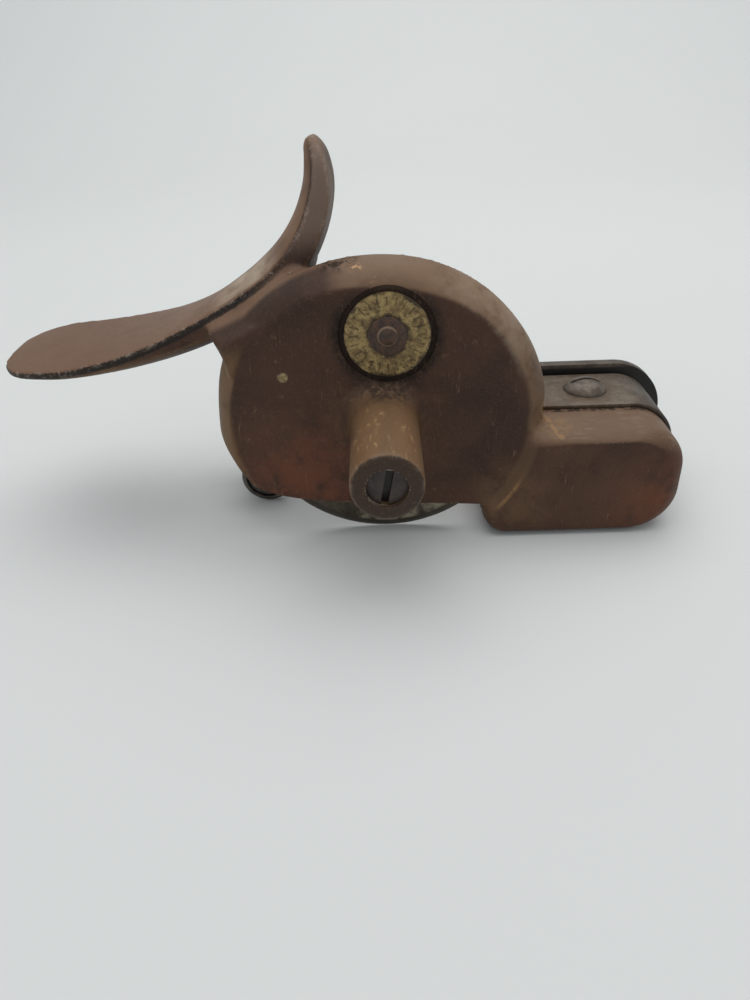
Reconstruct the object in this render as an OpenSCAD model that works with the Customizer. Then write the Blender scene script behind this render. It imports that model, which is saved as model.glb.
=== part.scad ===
// Hand-pushed rotary trimmer for paper and wallpaper.
// A free-rolling disc knife turns behind a cast drum guard. The guard, the long spindle boss, the nose
// shoe and the palm saddle are one iron casting. The shoe and a grooved rear roller follow a rail.
// X points to the nose, Y away from the side with the boss, Z up. The tool stands on Z = 0.

/* [Guard and boss] */
// Height of the spindle axis above the table
axis_z = 39.7; // [38:0.1:42]
// Thickness of the guard's front wall
wall = 2.8; // [2.6:0.1:3.2]
// Depth of the drum guard from its front face to its rim
guard_depth = 11; // [10:0.5:13]
// Outer diameter of the spindle boss
boss_d = 19.05; // [18:0.05:22]
// How far the boss stands out in front of the guard
boss_len = 37.5; // [36:0.5:42]

/* [Knife] */
// Thickness of the disc knife
knife_t = 1.6; // [1.2:0.1:1.8]
// Width of the ground bevel on the knife's front face
bevel_w = 3; // [2:0.5:4]
// Diameter of the spindle in its bushes
spindle_d = 7; // [6.6:0.1:7.2]

/* [Nose shoe] */
// Distance from the spindle axis to the front of the shoe
shoe_reach = 88.8; // [84:0.2:94]
// Height of the top of the shoe
shoe_h = 33.8; // [33:0.2:35]
// Distance from the guard's front face to the middle of the rail groove
rail_y = 27.4; // [26:0.2:28.6]
// Width of the rail groove
rail_w = 8; // [7:0.5:9]
// Height of the rail groove
rail_h = 5.5; // [5:0.1:6]
// Width of the spring strap over the nose
strap_w = 23.4; // [18:0.2:23.6]
// Thickness of the spring strap
strap_t = 1.3; // [0.8:0.1:1.5]
// Diameter of the strap screw's round head
strap_head_d = 13.7; // [11:0.1:15]

/* [Back plate and roller] */
// Distance from the guard's front face to the back plate
plate_y = 42; // [41.6:0.1:43]
// Thickness of the back plate
plate_t = 3.6; // [3:0.1:4]
// Diameter of the rear roller
roller_d = 17.2; // [15:0.2:17.6]
// Width of the rear roller
roller_w = 11; // [10.6:0.1:12]

/* [Saddle] */
// Distance from the spindle axis back to the saddle's tail
tail_reach = 115.3; // [110:0.5:124]
// Height of the horn's tip above the table
horn_top = 111.2; // [108:0.2:118]
// Greatest width of the palm rest
palm_w = 40; // [34:0.5:42]

/* [Hidden] */
$fn = 96;

eps = 0.01;             // overlap of a cutting solid past the face that it cuts
floor_gap = 0.2;        // knife and roller stop this far above the table
end_gap = 0.3;          // end play between turning and fixed faces
run_gap = 0.03;         // radial clearance of a running fit
thread_gap = 0.08;      // radial clearance of a threaded plug

// Knife and the round space that it needs.
knife_gap = 1.4;                            // from the guard's wall to the knife
bay_gap = 2;                                // around the knife, in the bore through which it leaves backwards
guard_gap = 6.3;                            // from the knife's edge to the outside of the guard
knife_r = axis_z - floor_gap;
knife_y = wall + knife_gap;                 // front face of the knife
knife_back = knife_y + knife_t;
knife_edge_t = 0.2;
bay_r = knife_r + bay_gap;
guard_r = knife_r + guard_gap;
guard_round = 7;                            // radius of the guard's front edge
rim_t = 3.2;
mouth_z = 12;                               // height of the guard's lower edge under the axis
mouth_tilt = 4.8;                           // slope of that edge, down towards the nose

// Boss, from its open end inwards: plug, seat, spring, pad, ball, spindle.
boss_r = boss_d / 2;
boss_fillet = 3;
bore_r = 5.3;
plug_r = bore_r - thread_gap;
plug_inset = 1;                             // the slotted plug lies this far inside the boss
plug_y = -boss_len + plug_inset;
plug_len = 6;
plug_slot_w = 1.9;
plug_slot_d = 1.8;
plug_slot_turn = 10;                        // the slot leans this far from upright
seat_y = plug_y + plug_len;
seat_r = bore_r - end_gap;
seat_t = 1.2;
seat_stem_r = 2.2;
seat_stem_len = 2.6;
spring_y = seat_y + seat_t;
spindle_r = spindle_d / 2;
spindle_end = -15;                          // inner end of the spindle, in the boss
ball_r = 2.38;
ball_pocket_r = ball_r + 0.07;
ball_pocket = 1.4;
ball_y = spindle_end + ball_pocket - ball_r;
pad_t = 2.6;
pad_y = ball_y - ball_r - pad_t / 2;        // outer face of the thrust pad
spring_len = pad_y - spring_y;
spring_wire = 1.1;
spring_turns = 6;
spring_r = seat_r - 0.2 - spring_wire / 2;
bush_len = 8;
bush_out_y = -13.2;
bush_in_y = wall - bush_len;

// Spindle head: collar, spigot and thread.
collar_r = 9;
collar_y = wall + end_gap;
spigot_r = 5;
thread_r = 4;
spindle_tip = 15;
washer_t = 1.2;
nut_af = 14;
nut_t = 5.2;
drive_r = 1.2;
drive_at = 7;                               // distance of the drive pin from the axis

// Badge on the guard's face and the brass steady pin.
badge_x = 1.4;
badge_up = 25.3;                            // height of the badge's centre over the axis
badge_z = axis_z + badge_up;
badge_recess_r = 13.6;
badge_recess = 0.8;
badge_r = 11.7;
badge_t = 1;
collar_plate_r = 5.3;
collar_plate_t = 0.5;
badge_y = badge_recess - badge_t;           // front face of the badge
badge_collar_y = badge_y - collar_plate_t;
rivet_head_r = 3;
rivet_head_h = 1.3;
rivet_r = 1.5;
steady_x = -27.8;
steady_up = 14.1;
steady_z = axis_z + steady_up;
steady_r = 1.4;

// Nose shoe, seen from the side: a flat sole, a small heel and two round corners at the nose. Its front face
// stands a little ahead of the guard's.
shoe_y = -3;
crease_y = 1.2;                             // bottom of the crease between the shoe's face and the guard
shoe_left = 28.8;
heel_r = 5.5;
nose_r = 13;
nose_x = shoe_reach - nose_r;               // centre of the nose's two arcs
nose_top_z = shoe_h - nose_r;
gutter_w = 3.3;                             // trough between the strap and the back plate
gutter_h = 6.5;

// Strap over the nose.
strap_left = 47.5;
strap_end_z = 9;
screw_back = 11.7;                          // the screw lies this far behind the centre of the nose's arcs
screw_x = nose_x - screw_back;
strap_head_h = 3.6;
strap_shank_r = 2.8;
strap_shank_len = 13;
strap_slot_w = 1.5;
strap_slot_d = 1.6;

// Back plate.
plate_rise = 2.2;                           // the plate stands this far above the strap
plate_ahead = 5.5;                          // and this far ahead of the shoe
plate_tail = 1.6;                           // and its tail this far behind the guard
plate_low = 1.5;
plate_h = shoe_h + strap_t + plate_rise;
plate_r = plate_h / 2 - plate_low;          // both ends of the plate are round
plate_nose_x = shoe_reach + plate_ahead - plate_r;
plate_tail_x = plate_r - guard_r - plate_tail;
plate_notch_r = 13;
plate_screw_r = 2;
plate_head_r = 3.6;
plate_head_h = 2.2;
plate_screw_len = 12;
plate_screw_end = plate_y + plate_t - plate_screw_len;
plate_screws_at = [[nose_x - 1.65 * nose_r, 0.38 * shoe_h], [nose_x + 0.32 * nose_r, 0.45 * shoe_h],
    [-0.945 * guard_r, 0.63 * axis_z]];
dowel_r = 1.5;
dowel_in = 7;
dowels_at = [[nose_x - 0.9 * nose_r, 0.68 * shoe_h], [nose_x - 0.6 * nose_r, 0.22 * shoe_h]];

// Rear roller on its bush and shouldered axle.
roller_x = -39.5;
roller_r = roller_d / 2;
roller_z = roller_r + floor_gap;
roller_y = rail_y - roller_w / 2;
roller_rim = 1.7;
roller_dish_r = roller_r - roller_rim;
roller_dish = 1.6;
roller_hub_y = roller_y + roller_dish;
roller_end = roller_y + roller_w;
roller_groove = 3.4;                        // depth of the roller's groove
roller_groove_r = roller_r - roller_groove;
bush_r = 3.2;
axle_r = 2.3;
roller_bush_y = roller_hub_y - end_gap;
lug_y = roller_end + end_gap;
axle_head_r = 4.6;
axle_head_t = 2;
axle_washer_r = 5;
axle_washer_t = 1;
axle_nut_af = 8;
axle_nut_t = 3.4;
axle_out = 0.6;                             // end of the axle beyond its nut
axle_tip = plate_y + plate_t + axle_washer_t + axle_nut_t + axle_out;
lug_r = 7.2;

// Web under the saddle and upper part of the rear lug. Their corners are counted from the spindle axis, as
// shares of the guard's radius.
neck_y = 5;
neck_w = 35;
under_saddle = [7 : 10];                    // stations that the web runs up to
neck_rear = [[-1.009, -0.175], [-1.009, 0.197], [-0.987, 0.349], [-1.013, 0.437]];
neck_front = [[-0.426, 0.983], [-0.362, 0.917], [-0.328, 0.786], [-0.524, 0.437], [-0.742, -0.175]];
lug_top = [[-1.035, -0.262], [-1.035, 0], [-1.009, 0.197], [-0.873, 0.349], [-0.655, 0]];

// Saddle stations from tail to horn: reach and height as fractions, half width as a fraction of palm_w/2,
// then in millimetres crown, belly, thickness of the edge, roll of the far edge above the near one, and shift
// of the whole station towards the back.
saddle = [
    [0.991, 0.176, 0.54, 0.2, 1.2, 0.7, 0.1, 5.4],
    [0.964, 0.180, 0.76, 0.4, 2.4, 0.9, 0.4, 3.6],
    [0.923, 0.189, 0.90, 0.6, 3.4, 1.0, 0.7, 2.2],
    [0.860, 0.207, 0.98, 0.8, 4.3, 1.1, 0.9, 0.8],
    [0.780, 0.225, 1.00, 1.0, 5.0, 1.2, 0.8, 0.0],
    [0.660, 0.257, 0.97, 1.1, 6.0, 1.3, 0.3, 0.0],
    [0.540, 0.309, 0.87, 1.3, 7.0, 1.5, -0.4, 0.0],
    [0.434, 0.380, 0.77, 1.6, 8.0, 1.8, -0.6, 0.0],
    [0.356, 0.449, 0.72, 2.1, 8.0, 2.0, -0.3, 0.0],
    [0.286, 0.520, 0.68, 2.6, 7.4, 2.2, 0.0, 0.0],
    [0.227, 0.606, 0.64, 2.9, 6.2, 2.4, 0.0, 0.0],
    [0.181, 0.713, 0.60, 2.9, 4.8, 2.4, 0.0, 0.0],
    [0.154, 0.828, 0.54, 3.0, 3.3, 2.3, 0.0, 0.0],
    [0.147, 0.919, 0.44, 3.0, 1.9, 2.0, 0.0, 0.0],
    [0.150, 0.972, 0.28, 2.4, 0.9, 1.5, 0.0, 0.0]];
tail_z = 0.174;                             // height of the tail's tip, as a fraction
tail_side = 6.2;                            // shift of the tail's tip towards the back
horn_reach = 0.155;                         // reach of the horn's tip, as a fraction
ring_side = 8;                              // spans across the top and across the belly
rings_between = 2;                          // rings from one station to the next

// Middle of the bounding box, which is the origin of the part.
x_min = -tail_reach;
x_max = plate_nose_x + plate_r;
y_min = -boss_len;
y_max = axle_tip;
origin = [(x_min + x_max) / 2, (y_min + y_max) / 2, 0];

// Moves a piece from the spindle's frame to the part's own frame.
module place() { translate(-origin) children(); }

// Stands what is drawn along Z on the XZ plane, so that it runs along +Y from [x, y, z].
module along_y(x, y, z) { translate([x, y, z]) rotate([-90, 0, 0]) children(); }

// Extrudes an outline drawn in X and Z along +Y.
module side_extrude(y, len) { translate([0, y + len, 0]) rotate([90, 0, 0]) linear_extrude(len) children(); }

// Plain round bar along Y.
module bar_y(x, y, z, r, len) { along_y(x, y, z) cylinder(r = r, h = len); }

// Ring along Y.
module ring_y(x, y, z, r, bore, len) {
    along_y(x, y, z) difference() {
        cylinder(r = r, h = len);
        translate([0, 0, -eps]) cylinder(r = bore, h = len + 2 * eps);
    }
}

// Hexagonal nut along Y with a round bore and chamfered corners.
module nut_y(x, y, z, af, bore, len) {
    along_y(x, y, z) difference() {
        intersection() {
            cylinder(r = af / sqrt(3), h = len, $fn = 6);
            rotate_extrude() polygon([[0, 0], [af / 2, 0], [af / sqrt(3), af / 12],
                [af / sqrt(3), len - af / 12], [af / 2, len], [0, len]]);
        }
        translate([0, 0, -eps]) cylinder(r = bore, h = len + 2 * eps);
    }
}

// ---- Saddle ----

// Smooth value between b and c, with a and d as their outer neighbours.
function blend(a, b, c, d, t) =
    0.5 * (2 * b + (c - a) * t + (2 * a - 5 * b + 4 * c - d) * t * t + (3 * b - a - 3 * c + d) * t * t * t);

// Station at a fractional index along the list.
function station(i) =
    let (last = len(saddle) - 1, k = min(floor(i), last - 1), t = i - k)
    blend(saddle[max(k - 1, 0)], saddle[k], saddle[k + 1], saddle[min(k + 2, last)], t);

// Centre of a station in X and Z.
function station_xz(s) = [-s[0] * tail_reach, axis_z + s[1] * (horn_top - axis_z)];

// Corner points of one cross-section: over the top from the near edge, back under the belly.
function saddle_ring(i) =
    let (
        s = station(i),
        c = station_xz(s),
        ahead = station_xz(station(min(i + 0.1, len(saddle) - 1))),
        behind = station_xz(station(max(i - 0.1, 0))),
        run = ahead - behind,
        up = [-run[1], run[0]] / norm(run),
        w = s[2] * palm_w / 2,
        y = rail_y + s[7]
    )
    concat(
        [for (k = [0 : ring_side]) let (u = 2 * k / ring_side - 1, n = s[3] * (1 - u * u) + s[6] * u)
            [c[0] + up[0] * n, y + w * u, c[1] + up[1] * n]],
        [for (k = [0 : ring_side]) let (u = 1 - 2 * k / ring_side,
            n = s[6] * u - s[5] - s[4] * (1 - pow(abs(u), 2.4)))
            [c[0] + up[0] * n, y + w * u, c[1] + up[1] * n]]);

// Palm rest and horn: one skin through all rings, closed by a point at each end.
module saddle_body() {
    count = 2 * (ring_side + 1);
    last = (len(saddle) - 1) * rings_between;
    rings = [for (i = [0 : last]) saddle_ring(i / rings_between)];
    tail = [-tail_reach, rail_y + tail_side, axis_z + tail_z * (horn_top - axis_z)];
    horn = [-horn_reach * tail_reach, rail_y, horn_top];
    points = concat([tail], [for (r = rings) each r], [horn]);
    tip = len(points) - 1;
    polyhedron(points, concat(
        [for (k = [0 : count - 1]) [0, 1 + (k + 1) % count, 1 + k]],
        [for (j = [0 : last - 1]) for (k = [0 : count - 1])
            let (a = 1 + j * count + k, b = 1 + j * count + (k + 1) % count) [a, b, a + count]],
        [for (j = [0 : last - 1]) for (k = [0 : count - 1])
            let (a = 1 + j * count + k, b = 1 + j * count + (k + 1) % count) [b, b + count, a + count]],
        [for (k = [0 : count - 1]) [tip, tip - count + k, tip - count + (k + 1) % count]]));
}

// ---- Casting ----

// Corner points given from the spindle axis as shares of the guard's radius.
function from_axis(shares) = [for (p = shares) [p[0] * guard_r, axis_z + p[1] * guard_r]];

// Bowl of the guard, with a rounded front edge and a hollow back.
module guard_bowl() {
    along_y(0, 0, axis_z) rotate_extrude() difference() {
        union() {
            square([guard_r - guard_round, guard_depth]);
            translate([0, guard_round]) square([guard_r, guard_depth - guard_round]);
            intersection() {
                translate([guard_r - guard_round, guard_round]) circle(r = guard_round);
                square([guard_r, guard_round]);
            }
        }
        translate([0, wall]) square([bay_r - 0.5, guard_depth]);
        translate([0, wall + 1.6]) square([guard_r - rim_t, guard_depth]);
    }
}

// Everything below the guard's mouth, which slopes down to the nose.
module below_mouth() {
    translate([0, 0, mouth_z]) rotate([0, mouth_tilt, 0])
        translate([-2 * guard_r, -1, -2 * guard_r]) cube([4 * guard_r, guard_depth + 2, 2 * guard_r]);
}

// Boss with a fillet at its root.
module boss() {
    bar_y(0, -boss_len, axis_z, boss_r, boss_len + wall);
    along_y(0, -boss_fillet, axis_z) rotate_extrude() difference() {
        translate([boss_r - eps, 0]) square([boss_fillet + eps, boss_fillet + 1]);
        translate([boss_r + boss_fillet, 0]) circle(r = boss_fillet);
    }
}

// Side outline of the shoe.
module shoe_outline(grow = 0) {
    flat = nose_x - shoe_left - heel_r;
    translate([nose_x, nose_top_z]) circle(r = nose_r + grow);
    translate([nose_x, nose_r]) circle(r = nose_r + grow);
    translate([nose_x, nose_r]) square([nose_r + grow, nose_top_z - nose_r]);
    translate([shoe_left + heel_r, -grow]) square([flat, shoe_h + 2 * grow]);
    translate([shoe_left, heel_r]) square([heel_r + 1, shoe_h / 2 - heel_r]);
    translate([shoe_left + heel_r, heel_r]) circle(r = heel_r + grow);
}

// Solid nose shoe, with the crease beside the guard, the rail groove and the trough beside the strap.
module shoe() {
    difference() {
        side_extrude(shoe_y, plate_y - shoe_y) shoe_outline();
        bar_y(0, shoe_y - 1, axis_z, guard_r, crease_y - shoe_y + 1);
        translate([shoe_left - 1, rail_y - rail_w / 2, -1]) cube([shoe_reach, rail_w, rail_h + 1]);
        translate([shoe_left, plate_y - gutter_w, shoe_h - gutter_h])
            cube([shoe_reach, gutter_w + 1, gutter_h + 1]);
    }
}

// Web that joins the guard to the saddle and the horn.
module neck() {
    side_extrude(neck_y, neck_w)
        polygon(concat(from_axis(neck_rear), [for (i = under_saddle) station_xz(saddle[i])],
            from_axis(neck_front)));
}

// Rear lug that carries the roller's axle and the back plate.
module lug() {
    side_extrude(lug_y, plate_y - lug_y) {
        translate([roller_x, roller_z]) circle(r = lug_r);
        polygon(concat([[roller_x - lug_r, roller_z]], from_axis(lug_top), [[roller_x + lug_r, roller_z]]));
    }
}

// The whole casting.
module frame() {
    color([0.36, 0.26, 0.2]) difference() {
        union() {
            difference() {
                guard_bowl();
                below_mouth();
            }
            difference() {
                union() {
                    shoe();
                    neck();
                    lug();
                    saddle_body();
                }
                bar_y(0, wall, axis_z, bay_r, plate_y);
            }
            boss();
        }
        bar_y(0, -boss_len - 1, axis_z, bore_r, boss_len + wall + 2);
        bar_y(badge_x, -1, badge_z, badge_recess_r, badge_recess + 1);
        bar_y(badge_x, -1, badge_z, rivet_r, wall + 2);
        bar_y(steady_x, -1, steady_z, steady_r, wall + 2);
        bar_y(roller_x, lug_y - 1, roller_z, axle_r, plate_y - lug_y + 2);
        for (p = plate_screws_at) bar_y(p[0], plate_screw_end, p[1], plate_screw_r, plate_screw_len);
        for (p = dowels_at) bar_y(p[0], plate_y - dowel_in, p[1], dowel_r, dowel_in + 1);
        translate([screw_x, rail_y, shoe_h - strap_shank_len])
            cylinder(r = strap_shank_r, h = strap_shank_len + 1);
    }
}

// ---- Spindle and its pressure gear, in the boss ----

module outer_bush() {
    color([0.66, 0.48, 0.26]) ring_y(0, bush_out_y, axis_z, bore_r, spindle_r + run_gap, bush_len);
}

module inner_bush() {
    color([0.66, 0.48, 0.26]) ring_y(0, bush_in_y, axis_z, bore_r, spindle_r + run_gap, bush_len);
}

// Pad that passes the spring's force to the ball.
module thrust_pad() {
    color([0.5, 0.49, 0.47]) difference() {
        bar_y(0, pad_y, axis_z, seat_r, pad_t);
        bar_y(0, ball_y - ball_r, axis_z, ball_pocket_r, pad_t);
    }
}

module thrust_ball() {
    color([0.75, 0.75, 0.76]) translate([0, ball_y, axis_z]) sphere(r = ball_r);
}

// Coil spring between the seat and the pad.
module pressure_spring() {
    steps = 14;                             // rings in one turn
    sides = 8;
    rings = spring_turns * steps;
    rise = spring_len - spring_wire;
    points = [for (j = [0 : rings]) let (a = 360 * j / steps) for (k = [0 : sides - 1])
        let (b = 360 * k / sides, r = spring_r + spring_wire / 2 * cos(b))
        [r * cos(a), r * sin(a), spring_wire / 2 + rise * j / rings + spring_wire / 2 * sin(b)]];
    last = len(points) - sides;
    color([0.45, 0.45, 0.46]) along_y(0, spring_y, axis_z) polyhedron(points, concat(
        [[for (k = [sides - 1 : -1 : 0]) k]],
        [for (j = [0 : rings - 1]) for (k = [0 : sides - 1])
            let (a = j * sides + k, b = j * sides + (k + 1) % sides) [a, b, a + sides]],
        [for (j = [0 : rings - 1]) for (k = [0 : sides - 1])
            let (a = j * sides + k, b = j * sides + (k + 1) % sides) [b, b + sides, a + sides]],
        [[for (k = [0 : sides - 1]) last + k]]));
}

// Follower that the plug pushes against the spring.
module spring_seat() {
    color([0.5, 0.49, 0.47]) {
        bar_y(0, seat_y, axis_z, seat_r, seat_t);
        bar_y(0, seat_y + seat_t - eps, axis_z, seat_stem_r, seat_stem_len + eps);
    }
}

// Slotted plug, turned to set how hard the knife bears on the rail.
module pressure_screw() {
    color([0.2, 0.18, 0.17]) difference() {
        bar_y(0, plug_y, axis_z, plug_r, plug_len);
        translate([0, plug_y, axis_z]) rotate([0, plug_slot_turn, 0])
            translate([-plug_slot_w / 2, -1, -bore_r]) cube([plug_slot_w, plug_slot_d + 1, 2 * bore_r]);
    }
}

// Spindle with its collar, the knife's spigot and a threaded end.
module spindle() {
    color([0.56, 0.55, 0.53]) difference() {
        union() {
            bar_y(0, spindle_end, axis_z, spindle_r, collar_y - spindle_end + eps);
            bar_y(0, collar_y, axis_z, collar_r, knife_y - collar_y);
            bar_y(0, knife_y - eps, axis_z, spigot_r - run_gap, knife_t - 0.1 + eps);
            bar_y(0, knife_y, axis_z, thread_r, spindle_tip - knife_y);
        }
        bar_y(0, spindle_end - 1, axis_z, ball_pocket_r, ball_pocket + 1);
        bar_y(0, collar_y - 1, axis_z + drive_at, drive_r, knife_y - collar_y + 2);
    }
}

// Knife with a single bevel on its front face.
module disc_knife() {
    color([0.55, 0.53, 0.47]) difference() {
        along_y(0, knife_y, axis_z) rotate_extrude($fn = 180) polygon([
            [spigot_r, 0], [knife_r - bevel_w, 0], [knife_r, knife_t - knife_edge_t], [knife_r, knife_t],
            [spigot_r, knife_t]]);
        bar_y(0, knife_y - 1, axis_z + drive_at, drive_r, knife_t + 2);
    }
}

// Pin that makes the knife turn with the spindle.
module drive_pin() {
    color([0.6, 0.59, 0.57]) bar_y(0, collar_y, axis_z + drive_at, drive_r, knife_back - collar_y);
}

module knife_washer() {
    color([0.5, 0.49, 0.46]) ring_y(0, knife_back, axis_z, collar_r, thread_r + run_gap, washer_t);
}

module knife_nut() {
    color([0.45, 0.43, 0.4]) nut_y(0, knife_back + washer_t, axis_z, nut_af, thread_r + run_gap, nut_t);
}

// ---- Badge and steady pin, in the guard's face ----

// Round brass plate with a ring of plain radial marks.
module badge_plate() {
    marks = 24;
    mark_w = 0.5;
    mark_len = 2.4;
    mark_depth = 0.25;
    mark_at = badge_r - 1.5 * mark_len;
    color([0.68, 0.62, 0.38]) difference() {
        ring_y(badge_x, badge_y, badge_z, badge_r, rivet_r, badge_t);
        for (k = [0 : marks - 1]) translate([badge_x, badge_y, badge_z]) rotate([0, 360 * k / marks, 0])
            translate([-mark_w / 2, -1, mark_at]) cube([mark_w, 1 + mark_depth, mark_len]);
    }
}

// Iron collar under the rivet's head.
module badge_collar() {
    color([0.35, 0.25, 0.18])
        ring_y(badge_x, badge_collar_y, badge_z, collar_plate_r, rivet_r, collar_plate_t);
}

// Rivet through the badge and the wall, peened inside.
module badge_rivet() {
    head_y = badge_collar_y;
    dome_r = (rivet_head_r * rivet_head_r + rivet_head_h * rivet_head_h) / (2 * rivet_head_h);
    color([0.42, 0.28, 0.2]) {
        intersection() {
            translate([badge_x, head_y - rivet_head_h + dome_r, badge_z]) sphere(r = dome_r);
            bar_y(badge_x, head_y - rivet_head_h - 1, badge_z, dome_r, rivet_head_h + 1);
        }
        bar_y(badge_x, head_y - eps, badge_z, rivet_r, wall - head_y + 2 * eps);
        bar_y(badge_x, wall, badge_z, rivet_r + 1, 0.6);
    }
}

// Brass pin that steadies the knife's face from inside.
module steady_pin() {
    color([0.74, 0.62, 0.36]) bar_y(steady_x, -0.1, steady_z, steady_r, knife_y - end_gap + 0.1);
}

// ---- Back plate ----

module back_plate() {
    color([0.38, 0.34, 0.3]) difference() {
        side_extrude(plate_y, plate_t) translate([0, plate_h - plate_r]) {
            translate([plate_nose_x, 0]) circle(r = plate_r);
            translate([plate_tail_x, 0]) circle(r = plate_r);
            translate([plate_tail_x, -plate_r]) square([plate_nose_x - plate_tail_x, 2 * plate_r]);
        }
        bar_y(0, plate_y - 1, axis_z, plate_notch_r, plate_t + 2);
        for (p = plate_screws_at) bar_y(p[0], plate_y - 1, p[1], plate_screw_r, plate_t + 2);
        for (p = dowels_at) bar_y(p[0], plate_y - 1, p[1], dowel_r, plate_t + 2);
        bar_y(roller_x, plate_y - 1, roller_z, axle_r, plate_t + 2);
    }
}

// Two dowels that place the plate on the shoe.
module plate_dowels() {
    color([0.5, 0.48, 0.45])
        for (p = dowels_at) bar_y(p[0], plate_y - dowel_in, p[1], dowel_r, dowel_in + plate_t);
}

// Three slotted cheese-head screws.
module plate_screws() {
    color([0.42, 0.39, 0.35]) for (p = plate_screws_at) difference() {
        union() {
            bar_y(p[0], plate_y + plate_t, p[1], plate_head_r, plate_head_h);
            bar_y(p[0], plate_screw_end, p[1], plate_screw_r, plate_screw_len + eps);
        }
        translate([p[0] - plate_head_r - 1, plate_y + plate_t + plate_head_h - 1.1, p[1] - 0.5])
            cube([2 * plate_head_r + 2, 2, 1]);
    }
}

// ---- Nose strap ----

// Spring steel band over the top of the shoe and down its nose.
module nose_strap() {
    color([0.4, 0.38, 0.35]) difference() {
        side_extrude(rail_y - strap_w / 2, strap_w) difference() {
            intersection() {
                shoe_outline(strap_t);
                translate([strap_left, strap_end_z]) square([shoe_reach, shoe_reach]);
            }
            shoe_outline();
        }
        translate([screw_x, rail_y, shoe_h - 1]) cylinder(r = strap_shank_r, h = strap_t + 2);
    }
}

// Round-head slotted screw of the strap.
module strap_screw() {
    head_z = shoe_h + strap_t;
    half = strap_head_d / 2;
    dome_r = (half * half + strap_head_h * strap_head_h) / (2 * strap_head_h);
    color([0.44, 0.42, 0.39]) translate([screw_x, rail_y, head_z]) difference() {
        union() {
            intersection() {
                translate([0, 0, strap_head_h - dome_r]) sphere(r = dome_r);
                cylinder(r = dome_r, h = strap_head_h + 1);
            }
            translate([0, 0, -strap_t - strap_shank_len + 1])
                cylinder(r = strap_shank_r, h = strap_t + strap_shank_len - 1 + eps);
        }
        translate([-half - 1, -strap_slot_w / 2, strap_head_h - strap_slot_d])
            cube([2 * half + 2, strap_slot_w, strap_head_h]);
    }
}

// ---- Rear roller ----

// Grooved roller with a dished front face.
module rear_roller() {
    lip = 0.8;                              // rounding of the flanges
    groove = rail_w;
    color([0.3, 0.29, 0.28]) along_y(roller_x, roller_y, roller_z) rotate_extrude() difference() {
        polygon([[bush_r + run_gap, 0], [roller_r - lip, 0], [roller_r, lip], [roller_r, roller_w - lip],
            [roller_r - lip, roller_w], [bush_r + run_gap, roller_w]]);
        square([roller_dish_r, roller_dish]);
        translate([roller_groove_r, (roller_w - groove) / 2 + 0.4]) square([roller_r, groove - 0.8]);
    }
}

module roller_bush() {
    color([0.66, 0.48, 0.26])
        ring_y(roller_x, roller_bush_y, roller_z, bush_r, axle_r, lug_y - roller_bush_y);
}

// Slotted shouldered screw that is the roller's axle.
module roller_axle() {
    color([0.4, 0.38, 0.36]) difference() {
        union() {
            bar_y(roller_x, roller_bush_y - axle_head_t, roller_z, axle_head_r, axle_head_t);
            bar_y(roller_x, roller_bush_y - eps, roller_z, axle_r, axle_tip - roller_bush_y + eps);
        }
        translate([roller_x - axle_head_r - 1, roller_bush_y - axle_head_t - 1, roller_z - 0.5])
            cube([2 * axle_head_r + 2, 2, 1]);
    }
}

module axle_washer() {
    color([0.45, 0.43, 0.4])
        ring_y(roller_x, plate_y + plate_t, roller_z, axle_washer_r, axle_r, axle_washer_t);
}

module axle_nut() {
    color([0.42, 0.4, 0.37])
        nut_y(roller_x, plate_y + plate_t + axle_washer_t, roller_z, axle_nut_af, axle_r, axle_nut_t);
}

place() frame();
place() outer_bush();
place() inner_bush();
place() thrust_pad();
place() thrust_ball();
place() pressure_spring();
place() spring_seat();
place() pressure_screw();
place() spindle();
place() disc_knife();
place() drive_pin();
place() knife_washer();
place() knife_nut();
place() badge_plate();
place() badge_collar();
place() badge_rivet();
place() steady_pin();
place() back_plate();
place() plate_dowels();
place() plate_screws();
place() nose_strap();
place() strap_screw();
place() rear_roller();
place() roller_bush();
place() roller_axle();
place() axle_washer();
place() axle_nut();
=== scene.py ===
import math
import bmesh
import bpy
from mathutils import Matrix, Vector
from mathutils.bvhtree import BVHTree
from mathutils.kdtree import KDTree


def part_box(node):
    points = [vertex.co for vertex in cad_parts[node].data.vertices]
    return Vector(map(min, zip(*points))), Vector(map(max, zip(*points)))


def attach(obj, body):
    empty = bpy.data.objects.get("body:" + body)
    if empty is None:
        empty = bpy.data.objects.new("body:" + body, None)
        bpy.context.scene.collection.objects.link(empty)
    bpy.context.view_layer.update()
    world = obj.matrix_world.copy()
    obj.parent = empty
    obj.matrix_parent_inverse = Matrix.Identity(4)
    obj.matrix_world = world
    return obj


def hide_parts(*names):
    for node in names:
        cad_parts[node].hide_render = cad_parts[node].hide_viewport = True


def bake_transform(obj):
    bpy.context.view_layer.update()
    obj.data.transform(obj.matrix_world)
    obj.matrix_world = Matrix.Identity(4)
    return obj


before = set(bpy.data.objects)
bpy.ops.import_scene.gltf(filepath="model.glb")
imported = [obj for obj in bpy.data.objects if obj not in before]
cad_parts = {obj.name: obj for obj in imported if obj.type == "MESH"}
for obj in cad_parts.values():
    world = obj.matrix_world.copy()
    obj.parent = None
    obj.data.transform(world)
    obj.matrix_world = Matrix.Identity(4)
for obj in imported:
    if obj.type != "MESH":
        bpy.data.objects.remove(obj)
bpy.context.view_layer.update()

# ---------------------------------------------------------------------------------------------
# Table and studio. A pale seamless sheet, one broad soft lamp above and behind the tool, a faint
# wash on the rising sheet and a weak fill from the front left.
# ---------------------------------------------------------------------------------------------

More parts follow.
